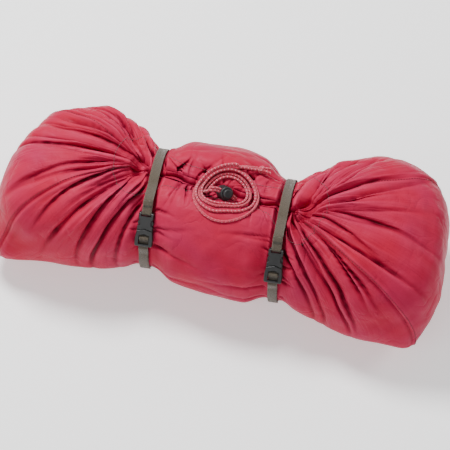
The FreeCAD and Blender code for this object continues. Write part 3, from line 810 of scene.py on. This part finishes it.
def cord_material(name):
    """Braided cord: pink-red carriers crossed by pale flecks."""
    shader = Shader(name)
    _, u, v = shader.cloth_place()
    right = shader.math("ADD", shader.math("MULTIPLY", u, 1 / FLECK_PITCH), v)
    left = shader.math("SUBTRACT", shader.math("MULTIPLY", u, 2 / FLECK_PITCH),
                       shader.math("MULTIPLY", v, 2.0))
    pale = shader.math("MULTIPLY", shader.math("GREATER_THAN", shader.wave(right, 1.0), 0.84),
                       shader.math("GREATER_THAN", shader.wave(left, 1.0), 0.05))
    carriers = shader.math("MAXIMUM", shader.wave(shader.math("MULTIPLY", right, 4.0), 1.0),
                           shader.wave(shader.math("MULTIPLY", left, 2.0), 1.0))
    return shader.surface({
        "Base Color": shader.ramp(pale, (0.0, (0.56, 0.016, 0.060)), (1.0, (0.82, 0.36, 0.42))),
        "Roughness": 0.6, "Sheen Weight": 0.3, "Normal": shader.bump((carriers, 0.0002, 0.8))})


def plastic_material(name, colour, roughness, metallic=0.0):
    """Moulded plastic or metal with a fine spark texture and slightly lighter, rougher patches at random."""
    shader = Shader(name)
    place = shader.object_place()
    cloud = shader.noise(place, 160.0, 3.0)
    lighter = tuple(value * 1.9 + 0.004 for value in colour)
    return shader.surface({
        "Base Color": shader.ramp(cloud, (0.35, colour), (0.8, lighter)), "Metallic": metallic,
        "Roughness": shader.math("MULTIPLY_ADD", cloud, 0.2, roughness), "Specular IOR Level": 0.5,
        "Normal": shader.bump((shader.noise(place, 2600.0, 2.0), 0.00008, 0.5))})


def thread_material(name, colour):
    """Sewing thread with a fine twist."""
    shader = Shader(name)
    twist = shader.noise(shader.object_place(), 1500.0, 2.0)
    light = tuple(min(1.0, value * 1.7) for value in colour)
    return shader.surface({"Base Color": shader.ramp(twist, (0.3, colour), (0.8, light)), "Roughness": 0.7,
                           "Normal": shader.bump((twist, 0.0001, 0.6))})


shell_fabric = fabric_material("shell_fabric")
webbing = webbing_material("webbing", (0.055, 0.041, 0.026), (0.122, 0.096, 0.064))
drawcord = cord_material("drawcord")
buckle_plastic = plastic_material("buckle_plastic", (0.006, 0.0062, 0.0064), 0.30)
cordlock_plastic = plastic_material("cordlock_plastic", (0.012, 0.012, 0.013), 0.42)
spring_steel = plastic_material("spring_steel", (0.4, 0.4, 0.4), 0.25, metallic=1.0)
grey_thread = thread_material("grey_thread", (0.15, 0.075, 0.085))
dark_thread = thread_material("dark_thread", (0.10, 0.006, 0.014))
strap_thread = thread_material("strap_thread", (0.035, 0.03, 0.022))

# ---- the bag's cloth ----------------------------------------------------

cloth, cloth_distance = build_cloth()
cloth = clear_of_lock(cloth)
last_row = len(cloth) - 1
cloth_normals = surface_normals(cloth)
if np.mean(cloth_normals[40, :, 2]) < 0:
    cloth_normals = -cloth_normals
# How far each point lies sunk; the fabric paints shade into the hollows and a highlight onto the ridges from
# this.
cloth_hollow = valleys(cloth, cloth_normals)
# Each panel's span of columns, and the CAD nodes it stands for.
panels = {
    "body_cloth_front": ((SEAMS[3], SEAMS[0] + cloth.shape[1]),
                         ("body_panel", "packed_contents", "mouth_casing", "drawcord_loop")),
    "body_cloth_back": ((SEAMS[1], SEAMS[2]), ("body_panel",)),
    "right_end_cloth": ((SEAMS[0], SEAMS[1]), ("right_end_panel",)),
    "left_end_cloth": ((SEAMS[2], SEAMS[3]), ("left_end_panel",)),
}
for name, (span, nodes) in panels.items():
    panel = grid_object(name, cloth, cloth_distance, cloth_hollow, span, shell_fabric)
    on_sack(panel, "shell_fabric", *nodes)


def hem_line():
    """The hem's stitch line: a fixed cloth length from the mouth's edge all the way round."""
    path, normals = [], []
    along, _ = ring_columns()
    for column in list(range(cloth.shape[1])) + [0]:
        place = cloth_distance[:, column]
        end = smooth_step((abs(along[column]) - 52) / 30.0)
        width = HEM_GATHERED + (HEM_WIDTH - HEM_GATHERED) * end
        path.append(along_line(width, place, cloth[:, column]))
        normals.append(along_line(width, place, cloth_normals[:, column]))
    return np.array(path), np.array(normals)


on_sack(stitches("hem_stitching", *hem_line(), grey_thread, 2.2, 0.26), "thread")
for number, column in enumerate(SEAMS):
    first = int(np.searchsorted(cloth_distance[:, column], HEM_WIDTH - 20))
    beside = column + (2 if column in (SEAMS[0], SEAMS[2]) else -2)
    row = slice(first, last_row - 6)
    on_sack(stitches("seam_stitching_%d" % number, cloth[row, beside], cloth_normals[row, beside],
                     dark_thread, 2.1, 0.28), "thread")

# ---- webbing ------------------------------------------------------------

STRAP_WIDTH = 10.0
STRAP_THICK = 1.2
TAIL_GAP = 0.4                  # between the strap and its tail, which lies over it
TACK_WIDTH = STRAP_WIDTH - 1.6
TACK_PITCH = 0.42
TACK_THREAD = 0.24              # radius
BAR_RADIUS = 0.9
BAR_GAP = 0.15
BAR_Y = 17.2                    # socket's fixed bar, above the buckle's middle
BUCKLE_RISE = 4.0
STRAP_END_AT = 174.0
TAIL_END_AT = 214.0
ANCHOR_AT = 8.0
ANCHOR_HALF = 9.0
ANCHOR_THICK = 0.5


class StrapPlane:
    """One strap's own plane: y towards the back, z up, and its buckle's place on it."""

    def __init__(self, spec):
        turn = radians(SKEW)
        self.origin = np.array([spec["x"], spec["y"], 0.0])
        self.across = np.array([cos(turn), sin(turn), 0.0])
        self.level = np.array([-sin(turn), cos(turn), 0.0])
        self.spec = spec
        self.centre = self.ellipse(spec["at"], BUCKLE_RISE)
        angle = radians(spec["at"])
        normal = np.array([cos(angle) / spec["half_width"], sin(angle) / spec["half_height"]])
        self.normal = normal / np.linalg.norm(normal)
        self.upwards = np.array([self.normal[1], -self.normal[0]])

    def ellipse(self, angle, lift):
        """(y, z) of the strap's line at an angle from the back, lifted off the bag."""
        turn = radians(angle)
        wide, high = self.spec["half_width"], self.spec["half_height"]
        normal_y, normal_z = cos(turn) / wide, sin(turn) / high
        size = np.hypot(normal_y, normal_z)
        return np.array([wide * cos(turn) + lift * normal_y / size,
                         self.spec["middle"] + high * sin(turn) + lift * normal_z / size])

    def local(self, y, z):
        """(y, z) of a place given up the strap and outwards from the buckle's middle."""
        return self.centre + self.upwards * y + self.normal * z

    def place(self, flat):
        """Points in the bag's frame from (y, z) pairs."""
        flat = np.asarray(flat)
        return self.origin + self.level * flat[:, :1] + np.array([0, 0, 1.0]) * flat[:, 1:]


def through(points, steps=6):
    """Smooth line through the given points."""
    points = np.asarray(points, float)
    padded = np.concatenate([2 * points[:1] - points[1:2], points, 2 * points[-1:] - points[-2:-1]])
    line = []
    for index in range(1, len(padded) - 2):
        before, start, end, after = padded[index - 1:index + 3]
        gap = np.linalg.norm(end - start)
        into = (end - before) / (np.linalg.norm(end - start) + np.linalg.norm(start - before)) * gap
        out = (after - start) / (np.linalg.norm(after - end) + np.linalg.norm(end - start)) * gap
        for t in np.arange(steps) / steps:
            line.append((2 * t ** 3 - 3 * t ** 2 + 1) * start + (t ** 3 - 2 * t ** 2 + t) * into
                        + (3 * t ** 2 - 2 * t ** 3) * end + (t ** 3 - t ** 2) * out)
    line.append(points[-1])
    return np.array(line)


def webbing_strip(name, plane, flat, width=STRAP_WIDTH, thick=STRAP_THICK):
    """Woven tape along a line in a strap's plane, with rolled edges."""
    path = plane.place(through(flat))
    half, edge = width / 2, thick / 2
    across = np.concatenate([np.linspace(-half + edge, half - edge, 9),
                             [half - 0.15 * edge, half, half - 0.15 * edge],
                             np.linspace(half - edge, -half + edge, 9),
                             [-half + 0.15 * edge, -half, -half + 0.15 * edge]])
    up = np.concatenate([np.full(9, edge), [0.6 * edge, 0, -0.6 * edge],
                         np.full(9, -edge), [-0.6 * edge, 0, 0.6 * edge]])
    section = np.stack([across, up], axis=1)
    points, faces = sweep(path, section, np.tile(plane.across, (len(path), 1)))
    along = np.repeat(line_length(path) * MM, len(section))
    wide = np.tile((across + half) * MM, len(path))
    return mesh_piece(name, points, faces, webbing, np.stack([along, wide], axis=1))


def bar_tack(name, plane, flat):
    """Close zigzag of thread across a strap."""
    line = plane.place(through(flat, 10))
    length = line_length(line)
    count = int(length[-1] / TACK_PITCH)
    zigzag = []
    for number in range(count + 1):
        point = along_line(length[-1] * number / count, length, line)
        zigzag.append(point + plane.across * (TACK_WIDTH / 2) * (1 if number % 2 else -1))
    return tube_piece(name, through(zigzag, 3), TACK_THREAD, strap_thread, count=6)


def strap_line(plane, at):
    """The strap's line: its sewn end, back round the socket's bar and then round the bag."""
    half = STRAP_THICK / 2
    wrap = BAR_RADIUS + BAR_GAP + half
    line = [plane.local(y, z) for y, z in ((31.0, 0.5), (27.0, 0.95), (22.5, 1.35), (19.2, 1.6))]
    for angle in (95, 130, 180, 230, 265):
        line.append(plane.local(BAR_Y + wrap * cos(radians(angle)), wrap * sin(radians(angle))))
    line += [plane.local(y, z) for y, z in ((19.4, -1.4), (23.0, -1.0), (27.2, -0.95), (31.2, -1.5))]
    last = plane.ellipse(STRAP_END_AT - 360, half)
    around = [plane.ellipse(angle, half) for angle in range(int(at) - 43, -188, -8)]
    return line + [point for point in around if np.abs(point - last).sum() > 6] + [last]


def strap_end_line(plane, last):
    """Webbing from the strap's end through the ladderlock and back, and its tail over the strap."""
    half = STRAP_THICK / 2
    load = [last, plane.ellipse(169, half + 0.15)]
    load += [plane.local(y, z) for y, z in (
        (-21.5, -3.35), (-17.0, -2.9), (-12.5, -2.75), (-9.0, -2.55), (-7.2, -1.6), (-7.0, 0.2), (-8.2, 1.7),
        (-9.8, 1.95), (-11.5, 1.2), (-13.0, -0.2), (-15.0, -1.2), (-18.0, -1.35), (-22.0, -1.9))]
    return load + [plane.ellipse(angle, STRAP_THICK + TAIL_GAP + half)
                   for angle in (169.5, 174, 180, 188, 197, 206, TAIL_END_AT)]


def build_strap(side):
    plane = StrapPlane(STRAPS[side])
    line = strap_line(plane, STRAPS[side]["at"])
    on_sack(webbing_strip(side + "_webbing", plane, line), "webbing", side + "_strap")

    end = webbing_strip(side + "_webbing_end", plane, strap_end_line(plane, line[-1]))
    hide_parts(side + "_strap_end")
    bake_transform(end)

    tack = [plane.local(24.2, 1.95), plane.local(25.2, 1.88), plane.local(26.2, 1.8)]
    on_sack(bar_tack(side + "_bar_tack", plane, tack), "thread", side + "_loop_stitch")

    pad = [plane.ellipse(ANCHOR_AT + share * ANCHOR_HALF, -0.1) for share in (-1, -0.5, 0, 0.5, 1)]
    anchor = webbing_strip(side + "_anchor_patch", plane, pad, STRAP_WIDTH + 4, ANCHOR_THICK)
    on_sack(anchor, "webbing", side + "_strap_anchor")
    for number, share in enumerate((-0.85, 0.85)):
        row = [plane.ellipse(ANCHOR_AT + (share + extra) * ANCHOR_HALF, STRAP_THICK + 0.05)
               for extra in (-0.12, 0, 0.12)]
        on_sack(bar_tack("%s_anchor_tack_%d" % (side, number), plane, row), "thread")
    for part in ("socket", "plug", "arm_a", "arm_b"):
        paint("%s_buckle_%s" % (side, part), buckle_plastic)


def paint(node, material):
    """Give a CAD node its finished material."""
    shown = bpy.data.objects[node]
    for place in shown.material_slots:
        place.material = material


for side in STRAPS:
    build_strap(side)
for node in ("cordlock_barrel", "cordlock_plunger"):
    paint(node, cordlock_plastic)


def build_spring():
    """Wire spring under the cord lock's button."""
    middle, axis = lock_place()
    across = unit(np.cross(axis, (0.0, 0.0, 1.0)))
    beside = np.cross(axis, across)
    turn = np.linspace(0, 2 * pi * SPRING_TURNS, 24 * SPRING_TURNS + 1)
    rise = np.linspace(SPRING_BOTTOM + SPRING_WIRE, SPRING_TOP - SPRING_WIRE, len(turn))
    line = (middle + rise[:, None] * axis
            + SPRING_RADIUS * (np.cos(turn)[:, None] * across + np.sin(turn)[:, None] * beside))
    spring = tube_piece("cordlock_wire", line, SPRING_WIRE, spring_steel, count=8)
    on_sack(spring, "spring", "cordlock_spring")
    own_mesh(spring)


build_spring()

# ---- drawcord -----------------------------------------------------------

CORD = 1.3
COIL_MIDDLE = np.array([8.0, -10.5, 131.4])
STRANDS = {
    "a": [(21.7, -4.8, 117.0), (17.9, -5.8, 118.9), (15.3, -7.4, 127.5), (0.0, -9.0, 138.3),
          (-4.5, -11.0, 140.6), (-8.6, -12.0, 140.6)],
    "b": [(-3.2, -3.1, 117.0), (4.2, -4.2, 117.3), (10.6, -6.3, 118.6), (16.3, -9.2, 120.4),
          (17.0, -10.5, 124.0), (14.6, -9.6, 126.3), (-0.7, -11.3, 137.0), (-4.6, -12.9, 138.6),
          (-10.6, -15.2, 138.7)],
}
TAILS = {
    "a": [(13.0, 22.6, 135.6), (19.0, 24.6, 134.6), (25.4, 26.3, 132.0), (31.8, 28.4, 129.4),
          (34.6, 29.8, 128.8)],
    "b": [(11.6, 24.4, 132.9), (17.6, 27.2, 132.2), (24.2, 29.2, 130.4), (31.2, 31.2, 128.4),
          (34.4, 31.2, 128.4)],
}
KNOT = (35.2, 30.4, 128.6)
TIPS = {
    "a": [(37.0, 29.6, 128.9), (39.0, 29.2, 128.6), (42.2, 29.6, 127.6), (45.6, 29.2, 126.6)],
    "b": [(36.6, 31.8, 128.2), (38.2, 32.8, 127.8), (41.2, 34.4, 126.8), (44.6, 35.2, 125.4)],
}
# Coil turns, wound clockwise from the left: angle from +X, then each strand's distance from the middle.
TURNS = np.array([
    (180, 20.0, 24.0), (135, 22.0, 26.0), (90, 24.5, 27.5), (45, 24.0, 27.0), (0, 20.0, 24.0),
    (-35, 15.0, 19.0), (-75, 11.2, 15.2), (-120, 15.5, 19.6), (-165, 25.0, 28.0), (-255, 29.5, 32.0),
    (-345, 31.0, 33.5), (-390, 27.4, 33.3), (-435, 21.2, 32.2), (-480, 26.4, 33.0), (-525, 31.2, 33.4),
    (-615, 32.6, 33.6), (-640, 33.2, 34.4),
])
TURN_STEP = 16.0                # degrees between the coil's points
LAY_STEPS = 8                   # fine points to each of them, when the coil is laid down
NEAR = 2.2 * CORD               # turns nearer than this, seen from above, rest on each other
REST = 1.9 * CORD               # and their middles are then this far apart in height
KNOT_STEPS = 96


def ground_under(point):
    """Height of the bag's cloth below a place."""
    for panel in cloth_trees:
        hit = panel.ray_cast(Vector((point[0] * MM, point[1] * MM, 0.2)), Vector((0, 0, -1)))
        if hit[0] is not None:
            return hit[0].z / MM
    return 0.0


def coil_points(column):
    """One strand's turns, seen from above."""
    angles = np.arange(TURNS[0, 0], TURNS[-1, 0] + 1, -TURN_STEP)
    radius = smooth_curve(-angles, -TURNS[:, 0], TURNS[:, column])
    return [(COIL_MIDDLE[0] + r * cos(radians(a)), COIL_MIDDLE[1] + r * sin(radians(a)))
            for a, r in zip(angles, radius)]


def on_top(height, point, others, heights):
    """Height that clears the cord already lying near a place."""
    if len(others) == 0:
        return height
    near = np.hypot(others[:, 0] - point[0], others[:, 1] - point[1])
    return max(height, np.max(np.where(near < NEAR, heights, 0)) + REST)


def lay_down(routes):
    """Lower each strand's turns onto the cloth and onto the turns already there."""
    laid = np.zeros((0, 3))
    for points, first, last in routes:
        fine = through(points, LAY_STEPS)
        along = line_length(fine[:, :2])
        height = np.array([ground_under(point) + CORD + 0.4 for point in fine])
        for index, point in enumerate(fine):
            before = max(index - LAY_STEPS, 0)
            height[index] = on_top(height[index], point, laid, laid[:, 2])
            height[index] = on_top(height[index], point, fine[:before], height[:before])
        spread = np.max(height[None, :] - 0.32 * np.abs(along[None, :] - along[:, None]), axis=1)
        for number in range(first, last):
            points[number][2] = spread[number * LAY_STEPS]
        fine[:, 2] = spread
        laid = np.concatenate([laid, fine[first * LAY_STEPS:last * LAY_STEPS]])
    return [points for points, _, _ in routes]


def build_cords():
    routes = []
    for letter, column in (("b", 2), ("a", 1)):
        turns = [(x, y, 135.0) for x, y in coil_points(column)]
        points = np.array(STRANDS[letter] + turns + TAILS[letter])
        routes.append((points, len(STRANDS[letter]), len(STRANDS[letter]) + len(turns)))
    knot_line = []
    for step in range(KNOT_STEPS):
        t = 2 * pi * step / KNOT_STEPS
        knot_line.append((KNOT[0] + 1.45 * sin(3 * t),
                          KNOT[1] + 0.98 * (2 + cos(3 * t)) * cos(2 * t),
                          KNOT[2] + 0.98 * (2 + cos(3 * t)) * sin(2 * t)))
    knot = tube_piece("cord_knot", knot_line + knot_line[:1], CORD, drawcord)
    on_sack(knot, "drawcord", "drawcord_knot")
    tips = {}
    for letter, points in TIPS.items():
        path = spline_path(points)
        ends = line_length(path) / line_length(path)[-1]
        shape = 1.0 - 0.35 * smooth_step((ends - 0.86) / 0.14)
        tips[letter] = tube_piece("cord_tip_" + letter, path, CORD, drawcord, shape=shape)
        on_sack(tips[letter], "drawcord", "drawcord_tip_" + letter)
    for (letter, nodes), points in zip((("b", ()), ("a", ("drawcord_coil",))), lay_down(routes)):
        path = spline_path(points)
        piece = tube_piece("cord_" + letter, path, CORD, drawcord)
        on_sack(piece, "drawcord", "drawcord_strand_" + letter, "drawcord_tail_" + letter, *nodes)
        print("cord", letter, "length", round(float(line_length(path)[-1]), 1))


cloth_trees = []
for name in ("body_cloth_front", "body_cloth_back"):
    mesh = bpy.data.objects[name].data
    cloth_trees.append(BVHTree.FromPolygons([vertex.co for vertex in mesh.vertices],
                                            [face.vertices[:] for face in mesh.polygons]))
build_cords()

# ---- stage, light and camera --------------------------------------------

CAMERA_TURN = 15.0
CAMERA_RISE = 58.0
CAMERA_DISTANCE = 3.0
CAMERA_SPAN = 0.4635            # width of what it sees there
FLOOR_HALF = 3000.0             # millimetres; the rest of the stage is in metres


def build_stage():
    white = Shader("floor_white").surface({"Base Color": (0.94, 0.94, 0.94, 1), "Roughness": 0.9,
                                           "Emission Color": (1, 1, 1, 1), "Emission Strength": 0.5})
    corners = [(x * FLOOR_HALF, y * FLOOR_HALF, 0) for x, y in ((-1, -1), (1, -1), (1, 1), (-1, 1))]
    mesh_piece("floor", corners, [(0, 1, 2, 3)], white)


def add_light(name, place, size, power):
    light = bpy.data.lights.new(name, "AREA")
    light.shape = "DISK"
    light.size = size
    light.energy = power
    lamp = bpy.data.objects.new(name, light)
    lamp.location = place
    lamp.rotation_euler = (Vector((0, 0, 0.06)) - Vector(place)).to_track_quat("-Z", "Y").to_euler()
    bpy.context.scene.collection.objects.link(lamp)


def build_lights():
    add_light("key", (-0.62, 0.42, 1.45), 0.5, 38)
    add_light("fill", (-0.4, -1.4, 1.2), 1.4, 11)
    add_light("side", (1.3, 0.5, 1.0), 0.6, 7)
    world = bpy.data.worlds.new("world")
    world.use_nodes = True
    background = world.node_tree.nodes["Background"]
    background.inputs["Color"].default_value = (1, 1, 1, 1)
    background.inputs["Strength"].default_value = 0.3
    bpy.context.scene.world = world


def build_camera():
    """Stands in front, to the right and above, looking at a point a little below the mouth's middle."""
    turn, rise = radians(CAMERA_TURN), radians(CAMERA_RISE)
    back = Vector((sin(turn) * cos(rise), -cos(turn) * cos(rise), sin(rise)))
    right = Vector((cos(turn), sin(turn), 0))
    up = back.cross(right)
    aim = Vector((0, 0, 0.122)) + right * 0.0041 - up * 0.0366
    camera = bpy.data.objects.new("camera", bpy.data.cameras.new("camera"))
    camera.matrix_world = Matrix.Translation(aim + back * CAMERA_DISTANCE) @ Matrix(
        (right, up, back)).transposed().to_4x4()
    camera.data.lens = camera.data.sensor_width * CAMERA_DISTANCE / CAMERA_SPAN
    bpy.context.scene.collection.objects.link(camera)
    bpy.context.scene.camera = camera


build_stage()
build_lights()
build_camera()
